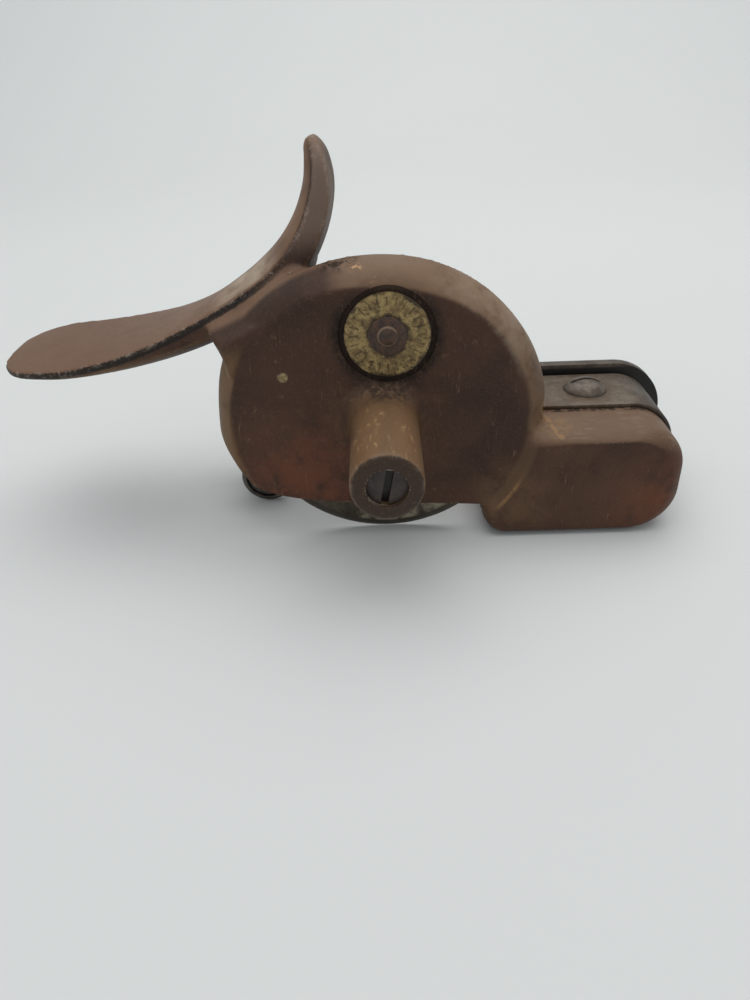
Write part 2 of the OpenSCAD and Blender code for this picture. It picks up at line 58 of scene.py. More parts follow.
MM = 0.001
GUARD_TO_KNIFE = 4.2                           # from the guard's front face back to the knife
knife_low, knife_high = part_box("disc_knife")
axis_x = (knife_low.x + knife_high.x) / 2      # the knife's box gives the spindle axis
axis_z = (knife_low.z + knife_high.z) / 2
face_y = knife_low.y - GUARD_TO_KNIFE * MM


def spot(x, y, z):
    """Point in metres from millimetres: x from the spindle, y from the guard's face, z from the table."""
    return Vector((axis_x + x * MM, face_y + y * MM, z * MM))


def link(piece):
    """Links an object to the scene."""
    bpy.context.scene.collection.objects.link(piece)
    return piece


def put(tree, kind, sockets=(), **settings):
    """Adds a shader node, with its settings, and feeds its sockets from values or other sockets."""
    node = tree.nodes.new(kind)
    for name, value in settings.items():
        setattr(node, name, value)
    for name, value in dict(sockets).items():
        if isinstance(value, bpy.types.NodeSocket):
            tree.links.new(value, node.inputs[name])
        else:
            node.inputs[name].default_value = value
    return node


def new_material(name):
    """Empty material with a principled shader: gives the material, its tree and the shader."""
    material = bpy.data.materials.new(name)
    material.use_nodes = True
    return material, material.node_tree, material.node_tree.nodes["Principled BSDF"]


sheet_w = 3.2
sheet_front = -1.6
bend_y = 0.62                                   # where the sheet starts to rise behind the tool
bend_r = 0.5
bend_steps = 12
rise = 1.6                                      # height of the sheet's top edge
sheet_white = (0.655, 0.668, 0.662, 1)
sheet_grey = (0.63, 0.645, 0.64, 1)

bm = bmesh.new()
front_edge = [bm.verts.new((-sheet_w / 2, sheet_front, 0)), bm.verts.new((-sheet_w / 2, bend_y, 0))]
for step in range(1, bend_steps + 1):
    turn = math.radians(90 * step / bend_steps)
    y = bend_y + bend_r * math.sin(turn)
    z = bend_r * (1 - math.cos(turn))
    front_edge.append(bm.verts.new((-sheet_w / 2, y, z)))
front_edge.append(bm.verts.new((-sheet_w / 2, bend_y + bend_r, rise)))
edges = [bm.edges.new(pair) for pair in zip(front_edge, front_edge[1:])]
grown = bmesh.ops.extrude_edge_only(bm, edges=edges)["geom"]
bmesh.ops.translate(bm, verts=[g for g in grown if isinstance(g, bmesh.types.BMVert)], vec=(sheet_w, 0, 0))
bmesh.ops.recalc_face_normals(bm, faces=bm.faces)
mesh = bpy.data.meshes.new("paper_sheet")
bm.to_mesh(mesh)
bm.free()
mesh.shade_smooth()
sheet = link(bpy.data.objects.new("paper_sheet", mesh))
material, tree, shader = new_material("white_paper")
where = put(tree, "ShaderNodeTexCoord").outputs["Object"]
cloudy = put(tree, "ShaderNodeTexNoise", {"Vector": where, "Scale": 3.0, "Detail": 3.0})
tone = put(tree, "ShaderNodeMix", {"Factor": cloudy.outputs["Fac"], "A": sheet_grey, "B": sheet_white},
           data_type="RGBA")
tree.links.new(tone.outputs["Result"], shader.inputs["Base Color"])
shader.inputs["Roughness"].default_value = 0.75
mesh.materials.append(material)

world = bpy.data.worlds.new("studio")
bpy.context.scene.world = world
world.use_nodes = True
sky = world.node_tree.nodes["Background"].inputs
sky["Color"].default_value = (0.93, 0.97, 1.0, 1)
sky["Strength"].default_value = 0.57
bpy.context.scene.view_settings.view_transform = "Standard"


def softbox(name, size, power, place, aim, colour=(1, 1, 1)):
    """Square area lamp at a point, turned to face another."""
    lamp = bpy.data.lights.new(name, "AREA")
    lamp.size = size
    lamp.energy = power
    lamp.color = colour
    holder = link(bpy.data.objects.new(name, lamp))
    holder.location = place
    holder.rotation_euler = (aim - place).to_track_quat("-Z", "Y").to_euler()


softbox("overhead", 1.4, 9.5, Vector((0.13, 0.32, 1.10)), Vector((0.10, 0.30, 0)), (1, 0.985, 0.96))
softbox("wall_wash", 1.2, 0.9, Vector((0, 0.10, 1.3)), Vector((0, 1.12, 0.35)))
softbox("front_fill", 0.8, 0.7, Vector((-0.6, -0.9, 0.7)), Vector((0, 0, 0.05)), (0.97, 0.98, 1))

# The camera looks down at the guard, from just in front of the boss. Its turns are in degrees.
look_down = 32.35
look_left = 0.88
tilted = -2.26
focal = 0.751                                   # focal length in widths of the frame
camera_data = bpy.data.cameras.new("camera")
camera_data.sensor_width = 36
camera_data.lens = 36 * focal
camera_data.clip_start = 0.01
camera = link(bpy.data.objects.new("camera", camera_data))
look = Matrix.Rotation(math.radians(look_left), 3, "Z")
look = look @ Matrix.Rotation(math.radians(90 - look_down), 3, "X")
look = look @ Matrix.Rotation(math.radians(tilted), 3, "Z")
camera.rotation_euler = look.to_euler()
camera.location = spot(-0.72, -193.4, 135.5)
bpy.context.scene.camera = camera

# ---------------------------------------------------------------------------------------------
# Casting. One piece of grey iron: drum guard, spindle boss, nose shoe, neck, palm rest and horn.
# It was moulded in sand, fettled and japanned brown; the japan is worn, rusted and hand-polished.
# ---------------------------------------------------------------------------------------------


def reach(name):
    """Low and high corner of a node's box, in the millimetres that spot() takes."""
    return [Vector(((c.x - axis_x) / MM, (c.y - face_y) / MM, c.z / MM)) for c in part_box(name)]


WALL = 2.8
GUARD_DEPTH = 11.0
GUARD_ROLL = 52                                 # degrees that the edge of its face rolls over
BOSS_R = 9.525
BOSS_EDGE = 0.7                                 # rounding of the boss's open end
BOSS_FILLET = 5.5
BORE_R = 5.3
BAY_R = 41.5                                    # the knife is drawn out backwards through this bore
BAY_FILLET = 2.6
AXIS_H = axis_z / MM
STRAP_T = 1.3
plate_y = reach("back_plate")[0].y              # the plate's front face, against the casting
boss_end = reach("frame")[0].y
strap_low, strap_high = reach("nose_strap")
wheel_low, wheel_high = reach("rear_roller")
SHOE_END = strap_high.x - STRAP_T
SHOE_H = strap_high.z - STRAP_T
SHOE_FACE = -3.0                                # the shoe's face stands ahead of the guard's
SHOE_ROLL = 56
NOSE_R = 13
STEP_R = 41.3                                   # where the step up to the shoe's face starts
RAIL_Y = (strap_low.y + strap_high.y) / 2
LUG_R = 7.2
BADGE = (1.4, AXIS_H + 25.3)                    # places of the badge and the pin on the guard's face
BADGE_R = 13.4
PIN = (-27.8, AXIS_H + 14.1)


def solid(name, bm):
    """Object from a bmesh, linked to the scene."""
    mesh = bpy.data.meshes.new(name)
    bm.to_mesh(mesh)
    bm.free()
    return link(bpy.data.objects.new(name, mesh))


def settle(piece):
    """Turns a piece's modifiers into its mesh."""
    graph = bpy.context.evaluated_depsgraph_get()
    graph.update()
    shaped = bpy.data.meshes.new_from_object(piece.evaluated_get(graph))
    piece.modifiers.clear()
    piece.data = shaped
    shaped.name = piece.name


def combine(piece, others, operation):
    """Adds other solids to a piece, or cuts them away, and removes them."""
    for other in others:
        step = piece.modifiers.new("step", "BOOLEAN")
        step.operation = operation
        step.solver = "MANIFOLD"
        step.object = other
        settle(piece)
        bpy.data.objects.remove(other)


def turned(profile, x, z, segments=96):
    """Solid turned about the line along Y at x and z. The profile is a closed list of (radius, y)."""
    bm = bmesh.new()
    base = spot(x, 0, z)
    line = Vector((0, 1, 0))
    ring = [bm.verts.new(base + Vector((r * MM, 0, 0)) + line * y * MM) for r, y in profile]
    edges = [bm.edges.new((ring[i], ring[(i + 1) % len(ring)])) for i in range(len(ring))]
    bmesh.ops.spin(bm, geom=ring + edges, cent=base, axis=line, angle=2 * math.pi,
                   steps=segments, use_merge=True)
    bmesh.ops.remove_doubles(bm, verts=bm.verts, dist=0.002 * MM)
    bmesh.ops.dissolve_degenerate(bm, edges=bm.edges, dist=0.001 * MM)
    bmesh.ops.recalc_face_normals(bm, faces=bm.faces)
    return bm


def slab(outline, y0, y1):
    """Plate with an outline in X and Z, from y0 to y1."""
    bm = bmesh.new()
    face = bm.faces.new([bm.verts.new(spot(x, y0, z)) for x, z in outline])
    grown = bmesh.ops.extrude_face_region(bm, geom=[face])["geom"]
    moved = [g for g in grown if isinstance(g, bmesh.types.BMVert)]
    bmesh.ops.translate(bm, verts=moved, vec=(0, (y1 - y0) * MM, 0))
    bmesh.ops.recalc_face_normals(bm, faces=bm.faces)
    return bm


def block(x0, x1, z0, z1, y0, y1):
    """Square block, for cutting."""
    return slab([(x0, z0), (x1, z0), (x1, z1), (x0, z1)], y0, y1)


def loft(rings):
    """Closed skin over rings that have the same number of points in metres."""
    bm = bmesh.new()
    last = None
    for points in rings:
        ring = bmesh.ops.create_circle(bm, segments=len(points), radius=1.0)["verts"]
        for vert, point in zip(ring, points):
            vert.co = point
        mine = set(ring)
        edges = list({e for v in ring for e in v.link_edges if e.other_vert(v) in mine})
        if last:
            bmesh.ops.bridge_loops(bm, edges=last + edges)
        last = edges
    bmesh.ops.holes_fill(bm, edges=[e for e in bm.edges if e.is_boundary], sides=0)
    bmesh.ops.recalc_face_normals(bm, faces=bm.faces)
    return bm


def rolled(front, back, y0, y1, y2, turn, steps=8):
    """Solid whose front outline rolls over an arc, from y0 to y1, into its back outline, up to y2."""
    full = math.radians(turn)
    rings = []
    for k in range(steps + 1):
        t = full * (1 - k / steps)
        share = 1 - (1 - math.cos(t)) / (1 - math.cos(full))
        y = y1 + (y0 - y1) * math.sin(t) / math.sin(full)
        rings.append([spot(a[0] + (b[0] - a[0]) * share, y, a[1] + (b[1] - a[1]) * share)
                      for a, b in zip(front, back)])
    if y2 > y1:
        rings.append([spot(x, y2, z) for x, z in back])
    return loft(rings)


def oval(cx, cy, rx, ry, start, end, steps):
    """Points on an ellipse from one angle to another, in degrees."""
    turns = [math.radians(start + (end - start) * k / steps) for k in range(steps + 1)]
    return [(cx + rx * math.cos(a), cy + ry * math.sin(a)) for a in turns]


def arc(cx, cy, r, start, end, steps):
    """Points on a circle from one angle to another, in degrees."""
    return oval(cx, cy, r, r, start, end, steps)


def bar(x, z, r, y0, y1, segments=48):
    """Plain round bar along Y, for cutting holes."""
    return turned([(0, y0), (r, y0), (r, y1), (0, y1)], x, z, segments)


def smooth_row(a, b, c, d, t):
    """Row between b and c on a smooth curve through four rows."""
    row = []
    for p, q, r, s in zip(a, b, c, d):
        square = (2 * p - 5 * q + 4 * r - s) * t * t
        cube = (3 * q - p - 3 * r + s) * t ** 3
        row.append(0.5 * (2 * q + (r - p) * t + square + cube))
    return tuple(row)


# Guard: flat face, then a band that rolls back to the rim. Each row has a direction from the axis in
# degrees, and the radii of the face and of the rim there.
RIM = [(0, 41.7, 47.4), (17, 41.0, 46.5), (35, 40.4, 45.3), (52, 39.1, 44.7), (70, 37.9, 44.3),
       (90, 37.9, 44.2), (108, 39.4, 45.0), (126, 41.3, 46.6), (144, 42.7, 48.1), (162, 43.2, 48.7),
       (178, 43.9, 49.0), (194, 45.0, 50.3), (210, 44.6, 50.3), (236, 43.0, 47.4), (270, 41.6, 45.8),
       (304, 41.6, 45.8), (332, 41.6, 46.6)]
RIM_STEPS = 8
face_line, rim_line = [], []
for i in range(len(RIM)):
    four = [RIM[(i + k) % len(RIM)] for k in (-1, 0, 1, 2)]
    base = four[1][0]
    four = [((row[0] - base + 180) % 360 - 180 + base, *row[1:]) for row in four]
    for k in range(RIM_STEPS):
        turn, inner, outer = smooth_row(*four, k / RIM_STEPS)
        out = (math.cos(math.radians(turn)), math.sin(math.radians(turn)))
        face_line.append((out[0] * inner, AXIS_H + out[1] * inner))
        rim_line.append((out[0] * outer, AXIS_H + out[1] * outer))
guard_bm = rolled(face_line, rim_line, 0, GUARD_DEPTH, GUARD_DEPTH, GUARD_ROLL)

# Its mouth, where the knife comes out, and a first cut that leaves metal for the clean one.
MOUTH = [(-62, 44), (-49.4, 35.6), (-47.9, 32.4), (-46.7, 30.2), (-45.6, 28.4), (-43.2, 23.9),
         (-39.8, 19.4), (-36.3, 17.2), (-31.4, 15.5), (-27.6, 14.6), (-22.6, 13.8), (-14.4, 12.8),
         (28.9, 10.4)]
SPARE = 1.8
guard = solid("casting", guard_bm)
guard_shape = guard.data.copy()
rough_cut = [(x, z - SPARE) for x, z in MOUTH] + [(60, 8.0), (60, -60), (-62, -60)]
combine(guard, [solid("rough_cut", slab(rough_cut, -5, 20))], "DIFFERENCE")

# Shoe: flat face, rolled over into the sides, stepped back to the guard's face along the guard.
shoe_front = (arc(37.0, 8.0, 5.9, 180, 270, 8) + oval(70.8, 15.5, 13.9, 13.4, -90, 0, 14)
              + oval(70.8, 19.0, 13.9, 12.7, 0, 90, 14) + [(40, 31.7), (31.1, 20)])
shoe_back = (arc(36.6, 7.2, 7.2, 180, 270, 8) + arc(SHOE_END - NOSE_R, NOSE_R, NOSE_R, -90, 0, 14)
             + arc(SHOE_END - NOSE_R, SHOE_H - NOSE_R, NOSE_R, 0, 90, 14) + [(36, SHOE_H), (29.4, 20)])
shoe = solid("shoe", rolled(shoe_front, shoe_back, SHOE_FACE, 3.0, plate_y, SHOE_ROLL))
step = [(0, -9), (STEP_R + 9 * 1.15, -9), (STEP_R, 0), (0, 0)]
combine(shoe, [solid("step", turned(step, 0, AXIS_H, 128))], "DIFFERENCE")
shoe_shape = shoe.data.copy()

# Neck: its front slopes back from the guard's face to the underside of the palm rest. The two outlines
# run from the lug up the left side, along under the palm rest, and down inside the guard.
neck_back = [(-46.9, 34), (-46.9, 44), (-46.0, 52), (-46.0, 57.5), (-47.4, 61.5), (-52.5, 65.5), (-46, 67),
             (-40, 70), (-33, 75), (-28, 78.3), (-25, 79.8), (-21.5, 79), (-17.5, 78), (-12, 77), (-6, 70),
             (-10, 50)]
neck_front = [(-41.5, 34), (-42.0, 44), (-42.3, 51), (-43.0, 56), (-43.8, 60.0), (-43.6, 63.2), (-40.5, 65.0),
              (-37.0, 66.3), (-30.2, 69.4), (-27, 71.5), (-24.0, 73.8), (-19.5, 77.0), (-15.5, 77.2),
              (-10, 75.4), (-7, 74), (-10, 50)]
neck_mid = [(a[0] * 0.45 + b[0] * 0.55, a[1] * 0.45 + b[1] * 0.55) for a, b in zip(neck_front, neck_back)]
neck_rows = [(0.02, neck_front), (7.0, neck_mid), (14.2, neck_back), (38, neck_back)]
neck = solid("neck", loft([[spot(x, y, z) for x, z in outline] for y, outline in neck_rows]))

# Lug behind the roller.
wheel = (wheel_low + wheel_high) / 2
lug_side = [(wheel.x - LUG_R, wheel.z), (-47.4, 26), (-47.4, 40), (-46, 50), (-40, 58), (-30, 40),
            (wheel.x + LUG_R, wheel.z)]
lug_side += arc(wheel.x, wheel.z, LUG_R, 0, -180, 12)[1:-1]
lug = solid("lug", slab(lug_side, wheel_high.y + 0.3, plate_y))

# Saddle: rings from tail to horn. Each has reach, shift to the back, height, half width, crown, belly,
# thickness of the edge, and roll of the far edge above the near one.
SADDLE = [(115.1, 6.5, 52.9, 5.0, 0.1, 0.6, 1.0, 0.0), (114.3, 4.4, 52.9, 9.2, 0.2, 1.0, 1.2, 0.1),
          (112.2, 3.2, 53.1, 13.4, 0.4, 1.7, 1.5, 0.4), (107.6, 2.2, 53.7, 17.4, 0.6, 2.6, 1.7, 0.7),
          (99.2, 1.0, 54.9, 19.6, 0.8, 3.5, 2.0, 0.9), (89.9, 0.0, 55.8, 20.0, 1.0, 4.0, 2.3, 0.8),
          (76.1, 0.0, 58.1, 19.4, 1.1, 4.4, 3.0, 0.3), (62.3, 0.0, 61.8, 17.4, 1.3, 4.2, 4.4, -0.4),
          (50.0, 0.0, 66.9, 15.4, 1.6, 3.6, 6.0, -0.6), (41.0, 0.0, 71.8, 14.4, 2.0, 3.0, 6.8, -0.3),
          (33.0, 0.0, 76.9, 13.6, 2.6, 2.6, 7.0, 0.0), (26.2, 0.0, 83.0, 12.8, 2.9, 2.2, 6.6, 0.0),
          (20.9, 0.0, 90.7, 12.0, 2.9, 1.7, 5.8, 0.0), (17.8, 0.0, 98.9, 10.8, 2.8, 1.2, 4.9, 0.0),
          (16.9, 0.0, 105.4, 8.8, 2.8, 0.8, 3.4, 0.0), (17.3, 0.0, 109.2, 5.6, 2.3, 0.5, 2.0, 0.0),
          (17.8, 0.0, 110.9, 2.8, 1.2, 0.3, 0.8, 0.0)]
SADDLE_POINTS = 48
rows = []
for i in range(len(SADDLE) - 1):
    four = [SADDLE[max(i - 1, 0)], SADDLE[i], SADDLE[i + 1], SADDLE[min(i + 2, len(SADDLE) - 1)]]
    rows += [smooth_row(*four, t) for t in (0.0, 0.25, 0.5, 0.75)]
rows.append(SADDLE[-1])
rings = []
for i, (back, shift, height, half, crown, belly, edge, roll) in enumerate(rows):
    before, after = rows[max(i - 1, 0)], rows[min(i + 1, len(rows) - 1)]
    run = Vector((before[0] - after[0], after[2] - before[2])).normalized()
    up = Vector((-run.y, run.x))
    ring = []
    for k in range(SADDLE_POINTS):
        turn = 2 * math.pi * k / SADDLE_POINTS
        u, s = math.cos(turn), math.sin(turn)
        lift = crown * (1 - u * u) + roll * u
        if abs(s) < 0.01:
            lift -= edge / 2
        elif s < 0:
            lift = roll * u - edge - belly * (1 - abs(u) ** 2.6)
        ring.append(spot(-back + up.x * lift, RAIL_Y + shift + half * u, height + up.y * lift))
    rings.append(ring)
# In each ring, point 23 is on the top beside the near edge, 25 on the underside, 12 and 36 in the middle.
near_edge = [(ring[23], (ring[12] - ring[36]).normalized()) for ring in rings]
under_edge = [ring[25] for ring in rings]
saddle = solid("saddle", loft(rings))
saddle_shape = saddle.data.copy()

# Boss with its fillet, and the bay that the knife is drawn out through.
boss = turned([(0, boss_end)] + arc(BOSS_R - BOSS_EDGE, boss_end + BOSS_EDGE, BOSS_EDGE, -90, 0, 4)
              + arc(BOSS_R + BOSS_FILLET, -BOSS_FILLET, BOSS_FILLET, 180, 90, 10)
              + [(BOSS_R + BOSS_FILLET, 2), (0, 2)], 0, AXIS_H)
combine(guard, [shoe, neck, lug, saddle, solid("boss", boss)], "UNION")
bay = ([(0, WALL)] + arc(BAY_R - BAY_FILLET, WALL + BAY_FILLET, BAY_FILLET, -90, 0, 5)
       + [(BAY_R, 70), (0, 70)])
combine(guard, [solid("bay", turned(bay, 0, AXIS_H, 128))], "DIFFERENCE")

grid = guard.modifiers.new("grid", "REMESH")
grid.mode = "VOXEL"
grid.voxel_size = 0.85 * MM
settle(guard)

bm = bmesh.new()
bm.from_mesh(guard.data)


def in_mm(vert):
    """Vertex's place in the millimetres that spot() takes."""
    return (vert.co.x - axis_x) / MM, (vert.co.y - face_y) / MM, vert.co.z / MM


def soften(bm, rounds, chosen):
    """Rounds a part of the casting."""
    for _ in range(rounds):
        bmesh.ops.smooth_vert(bm, verts=chosen, factor=0.5, use_axis_x=True, use_axis_y=True, use_axis_z=True)


def hollows(bm, spread, test):
    """Vertices of the inside corners, and those within some edges of them, where the test holds."""
    bm.normal_update()
    found = set()
    for vert in bm.verts:
        if test(*in_mm(vert)):
            middle = sum((e.other_vert(vert).co for e in vert.link_edges), Vector()) / len(vert.link_edges)
            if (middle - vert.co).dot(vert.normal) > 0.05 * MM:
                found.add(vert)
    for _ in range(spread):
        found |= {e.other_vert(v) for v in found for e in v.link_edges}
    return list(found)


def at_shoe_corner(x, y, z):
    """The front corner where the shoe's top runs into the guard."""
    return x > 28 and y < 12 and math.hypot(x - 46.2, z - 34.2) < 7.5


def on_step(x, y, z):
    """The step between the guard's face and the shoe's."""
    return x > 28 and y < 1.4 and abs(math.hypot(x, z - AXIS_H) - 43.0) < 3.2


# Junctions flow into each other: most at the neck, the shoe's corner and the step, less elsewhere.
soften(bm, 26, hollows(bm, 4, lambda x, y, z: x < -6 and z > 50 and 7 < y < 44))
soften(bm, 30, [v for v in bm.verts if at_shoe_corner(*in_mm(v))])
soften(bm, 10, [v for v in bm.verts if on_step(*in_mm(v))])
soften(bm, 12, hollows(bm, 3, lambda x, y, z: x > -8 or z < 55 or y > 7))
soften(bm, 4, hollows(bm, 1, lambda x, y, z: True))
soften(bm, 5, list(bm.verts))

# Then the plain surfaces and their edges are laid back on the shapes that they came from.
SEARCH = 1.6                                    # how far such a surface may be
KEPT = 0.08                                     # what lies further out is a fillet, and keeps its place
FADE = 0.5
trees = [BVHTree.FromPolygons([v.co for v in shape.vertices], [p.vertices for p in shape.polygons])
         for shape in (guard_shape, shoe_shape, saddle_shape)]
bm.normal_update()
for vert in bm.verts:
    if at_shoe_corner(*in_mm(vert)) or on_step(*in_mm(vert)):
        continue
    best = None
    for known in trees:
        touch, normal, _, gap = known.find_nearest(vert.co, SEARCH * MM)
        if touch and normal.dot(vert.normal) > 0.35 and (best is None or gap < best[2]):
            best = (touch, normal, gap)
    if best:
        outside = (vert.co - best[0]).dot(best[1]) / MM
        share = 1.0 if outside < KEPT else max(0.0, 1 - (outside - KEPT) / FADE)
        vert.co = vert.co.lerp(best[0], share)
soften(bm, 3, [v for v in bm.verts if at_shoe_corner(*in_mm(v))])
bm.to_mesh(guard.data)
bm.free()

# Machined and drilled features.
cuts = [block(20, 100, -2, 5.5, RAIL_Y - 4, RAIL_Y + 4),                       # rail groove
        block(44, 100, SHOE_H - 6.5, 50, plate_y - 3.3, plate_y + 3),          # ledge behind the strap
        block(-150, 150, -20, 0, -60, 70),                                     # flat sole
        block(-90, 130, -5, 50, plate_y, plate_y + 10),                        # seat of the back plate
        slab(MOUTH + [(28.9, -60), (-62, -60)], -5, 20),                       # mouth
        bar(0, AXIS_H, BORE_R, boss_end - 5, WALL + 3, 96),                    # bore
        bar(*BADGE, BADGE_R, -5, 0.8, 96),                                     # badge's recess
        bar(*BADGE, 1.5, -5, WALL + 3),                                        # rivet's hole
        bar(*PIN, 1.4, -5, WALL + 3)]                                          # pin's hole
combine(guard, [solid("cut", cut) for cut in cuts], "DIFFERENCE")
guard.data.shade_smooth()
guard.data.set_sharp_from_angle(angle=math.radians(50))

# Two measures for the wear: how far each point is above the palm rest's near edge, and how far from its
# underside's edge.
edge_points = []
for (a, up_a), (b, _) in zip(near_edge, near_edge[1:]):
    edge_points += [(a.lerp(b, k / 4), up_a) for k in range(4)]
under_points = [a.lerp(b, k / 4) for a, b in zip(under_edge, under_edge[1:]) for k in range(4)]


def nearest(points):
    """Search tree over points."""
    known = KDTree(len(points))
    for i, point in enumerate(points):
        known.insert(point, i)
    known.balance()
    return known


edge_tree = nearest([point for point, _ in edge_points])
under_tree = nearest(under_points)
above_edge = guard.data.attributes.new("above_edge", "FLOAT", "POINT")
to_under = guard.data.attributes.new("to_under", "FLOAT", "POINT")
for vert in guard.data.vertices:
    point, i, gap = edge_tree.find(vert.co)
    side = (vert.co - point).dot(edge_points[i][1]) + 0.0001
    above_edge.data[vert.index].value = math.copysign(gap / MM, side)
    to_under.data[vert.index].value = under_tree.find(vert.co)[2] / MM


def noise(tree, where, scale, detail=4.0, rough=0.55, warp=0.0):
    """Noise value; scale counts lumps in a metre."""
    return put(tree, "ShaderNodeTexNoise", {"Vector": where, "Scale": scale, "Detail": detail,
               "Roughness": rough, "Distortion": warp}).outputs["Fac"]


def ramp(tree, value, low, high):
    """0 at low, 1 at high, smooth between."""
    return put(tree, "ShaderNodeMapRange", {"Value": value, "From Min": low, "From Max": high},
               interpolation_type="SMOOTHSTEP").outputs["Result"]


def maths(tree, how, a, b=0.0):
    """One sum on two values."""
    return put(tree, "ShaderNodeMath", {0: a, 1: b}, operation=how).outputs["Value"]


def both(tree, *masks):
    """Product of several masks."""
    result = masks[0]
    for mask in masks[1:]:
        result = maths(tree, "MULTIPLY", result, mask)
    return result


def either(tree, *masks):
    """Largest of several masks."""
    result = masks[0]
    for mask in masks[1:]:
        result = maths(tree, "MAXIMUM", result, mask)
    return result


def swing(tree, value, size):
    """Noise value as a swing to both sides of nothing."""
    return both(tree, maths(tree, "SUBTRACT", value, 0.5), size)


def mixed(tree, share, a, b):
    """Colour between a and b."""
    return put(tree, "ShaderNodeMix", {"Factor": share, "A": a, "B": b}, data_type="RGBA").outputs["Result"]


def tint(tree, colour, tone, *masks):
    """Colour with a tone laid over it where all the masks hold."""
    return mixed(tree, both(tree, *masks), colour, tone)


def part_of(tree, vector, axis):
    """One coordinate of a vector."""
    return put(tree, "ShaderNodeSeparateXYZ", {"Vector": vector}).outputs[axis]


def along(tree, where, axis, none, full):
    """0 at one place on an axis and 1 at another, in the millimetres that spot() takes."""
    ends = [getattr(spot(end, end, end), axis.lower()) for end in (none, full)]
    return ramp(tree, part_of(tree, where, axis), *ends)


def near(tree, where, centre, full, none):
    """1 within full millimetres of a point, 0 beyond none."""
    gap = put(tree, "ShaderNodeVectorMath", {0: where, 1: centre}, operation="DISTANCE").outputs["Value"]
    return ramp(tree, gap, none * MM, full * MM)


def band(tree, value, low, high, soft):
    """1 between two values, fading outside over a width."""
    return both(tree, ramp(tree, value, low - soft, low), ramp(tree, value, high + soft, high))


def hairlines(tree, where, angle, scale, width):
    """Fine scratches that run across X and Z at an angle in degrees, broken up at random."""
    turned_by = put(tree, "ShaderNodeMapping", {"Vector": where, "Rotation": (0, math.radians(angle), 0),
                    "Scale": (1, 1, 0.06)}).outputs["Vector"]
    value = noise(tree, turned_by, scale, 2.0)
    line = ramp(tree, maths(tree, "ABSOLUTE", maths(tree, "SUBTRACT", value, 0.5)), width, 0.0)
    return both(tree, line, ramp(tree, noise(tree, where, scale * 0.5, 2.0), 0.52, 0.62))


def streaks(tree, where, drawn, *settings):
    """Noise that is drawn out along the axes where drawn is below 1."""
    longer = put(tree, "ShaderNodeMapping", {"Vector": where, "Scale": drawn}).outputs["Vector"]
    return noise(tree, longer, *settings)


def from_axis(tree, where, x, z):
    """Distance from a line along Y."""
    gap = put(tree, "ShaderNodeVectorMath", {0: where, 1: spot(x, 0, z)}, operation="SUBTRACT")
    flat = put(tree, "ShaderNodeVectorMath", {0: gap.outputs["Vector"], 1: (1, 0, 1)}, operation="MULTIPLY")
    return put(tree, "ShaderNodeVectorMath", {0: flat.outputs["Vector"]}, operation="LENGTH").outputs["Value"]


def surface(tree, shader, gloss, relief, strength, depth):
    """Gives a shader its roughness, and a bump from a relief with a depth in metres."""
    tree.links.new(gloss, shader.inputs["Roughness"])
    bump = put(tree, "ShaderNodeBump", {"Height": relief, "Strength": strength, "Distance": depth})
    tree.links.new(bump.outputs["Normal"], shader.inputs["Normal"])


material, tree, shader = new_material("worn_japan")
where = put(tree, "ShaderNodeTexCoord").outputs["Object"]
geometry = put(tree, "ShaderNodeNewGeometry").outputs
up_part = part_of(tree, geometry["Normal"], "Z")
edge_out = geometry["Pointiness"]
ahead = part_of(tree, where, "Y")
drum_r = from_axis(tree, where, 0, AXIS_H)
badge_r = from_axis(tree, where, *BADGE)
above = put(tree, "ShaderNodeAttribute", attribute_name="above_edge").outputs["Fac"]
under = put(tree, "ShaderNodeAttribute", attribute_name="to_under").outputs["Fac"]
clouds = noise(tree, where, 38.0, 5.0, 0.6, 0.4)
blotch = noise(tree, where, 120.0, 7.0, 0.65, 0.3)
fleck = noise(tree, where, 520.0, 6.0, 0.72, 0.5)
grain = noise(tree, where, 2400.0, 3.0, 0.65)

# Japan: dark and brown in clouds, red with rust low down, and tan on upward faces: partly worn where hands
# reach it, partly painted light from above.
japan_dark = (0.037, 0.0165, 0.0098, 1)
japan_brown = (0.066, 0.031, 0.018, 1)
rust_red = (0.125, 0.042, 0.020, 1)
worn_lit_tan = (0.172, 0.098, 0.060, 1)
worn_lit_brown = (0.150, 0.080, 0.045, 1)
colour = mixed(tree, ramp(tree, clouds, 0.34, 0.68), japan_dark, japan_brown)
reds = either(tree, near(tree, where, spot(-24, 0, 20), 6, 30), near(tree, where, spot(82, -2, 10), 4, 24))
colour = tint(tree, colour, rust_red, ramp(tree, blotch, 0.30, 0.62), reds, 0.9)
off_neck = either(tree, ramp(tree, above, -3.4, -2.0), along(tree, where, "Y", 6, 10),
                  along(tree, where, "X", -16, -8))
worn_and_lit = both(tree, ramp(tree, up_part, 0.25, 0.80), ramp(tree, blotch, -0.2, 0.62), off_neck)
colour = mixed(tree, worn_and_lit, colour, mixed(tree, ramp(tree, clouds, 0.4, 0.6), worn_lit_tan, worn_lit_brown))
